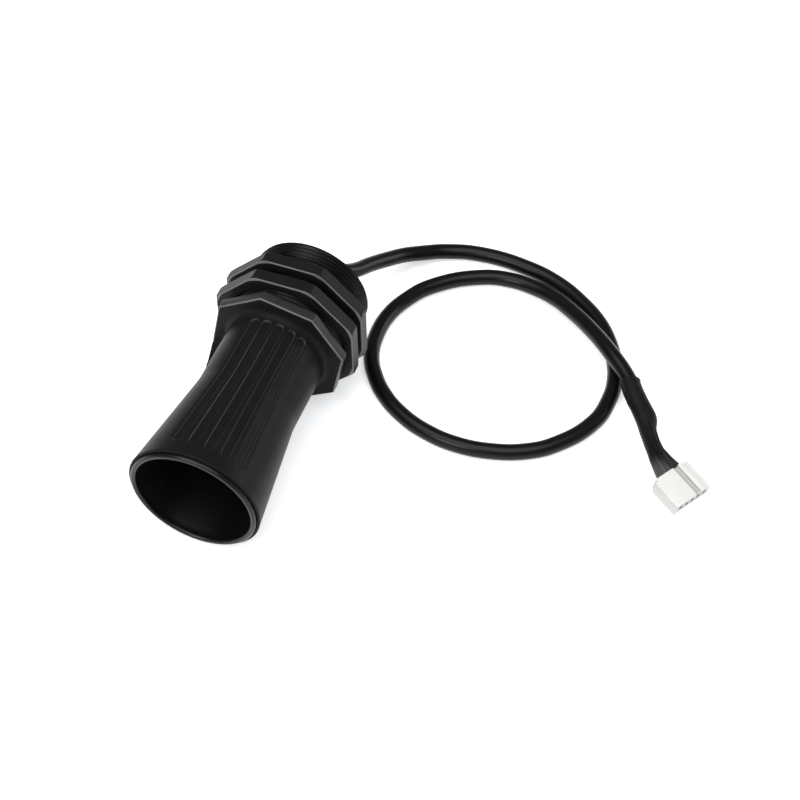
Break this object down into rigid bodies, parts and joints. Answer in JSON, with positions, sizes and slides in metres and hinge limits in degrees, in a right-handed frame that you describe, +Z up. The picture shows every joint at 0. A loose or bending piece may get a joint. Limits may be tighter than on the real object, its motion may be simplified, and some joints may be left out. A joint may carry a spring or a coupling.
{
  "type": "ultrasonic sensor",
  "caption": "Horn-type ultrasonic distance sensor with a flared mouth, threaded rear barrel, octagonal lock nuts and a round cable that ends in a small white plug.",
  "frame": {"origin": "on the table, under the middle of the sensor's own box, without its cable and plug", "axes": "+Y from the mouth to the rear rim, +Z up, +X to the side on which the cable lies"},
  "size_m": [0.1664, 0.1523, 0.0478],
  "materials": {
    "housing_moulding": "fine moulded satin",
    "cone_moulding": "smooth moulded satin",
    "nut_moulding": "fine moulded satin",
    "can_aluminium": "satin",
    "piezo_ceramic": "fired ceramic",
    "damping_foam": "soft felt",
    "silicone": "cast silicone",
    "soft_rubber": "moulded rubber",
    "contact_metal": "tinned",
    "lead_black": "wire insulation",
    "lead_red": "wire insulation",
    "lead_white": "wire insulation",
    "lead_yellow": "wire insulation",
    "lead_green": "wire insulation",
    "board_laminate": "solder mask",
    "ferrite": "pressed ferrite",
    "chip_epoxy": "moulded epoxy",
    "capacitor_can": "drawn can",
    "crystal_can": "drawn can",
    "potting_resin": "cast resin",
    "cable_jacket": "extruded satin jacket",
    "shrink_tube": "shrunk satin sleeve",
    "plug_nylon": "natural moulded nylon"
  },
  "bodies": {
    "sensor": {"housing": "housing_moulding", "horn_cone": "cone_moulding", "transducer_can": "can_aluminium", "piezo_disc": "piezo_ceramic", "damping_pad": "damping_foam", "can_filler": "silicone", "isolation_sleeve": "soft_rubber", "transducer_pin_left": "contact_metal", "transducer_pin_right": "contact_metal", "transducer_lead_left": "lead_black", "transducer_lead_right": "lead_red", "circuit_board": "board_laminate", "step_up_transformer": "ferrite", "controller_chip": "chip_epoxy", "receiver_chip": "chip_epoxy", "reservoir_capacitor": "capacitor_can", "crystal": "crystal_can", "core_wire_1": "lead_red", "core_wire_2": "lead_black", "core_wire_3": "lead_white", "core_wire_4": "lead_yellow", "core_wire_5": "lead_green", "potting_disc": "potting_resin", "cable_grommet": "soft_rubber", "cable": "cable_jacket", "heat_shrink_sleeve": "shrink_tube", "plug_housing": "plug_nylon", "contact_1": "contact_metal", "contact_2": "contact_metal", "contact_3": "contact_metal", "contact_4": "contact_metal", "contact_5": "contact_metal"},
    "front_nut": {"lock_nut_front": "nut_moulding"},
    "rear_nut": {"lock_nut_rear": "nut_moulding"}
  },
  "joints": [
    {"name": "front_nut_travel", "type": "slide", "parent": "sensor", "child": "front_nut", "axis": [0, 0.9995, 0.0303], "range_m": [-0.003, 0.0016]},
    {"name": "rear_nut_travel", "type": "slide", "parent": "sensor", "child": "rear_nut", "axis": [0, 0.9995, 0.0303], "range_m": [-0.0016, 0.0108]}
  ]
}
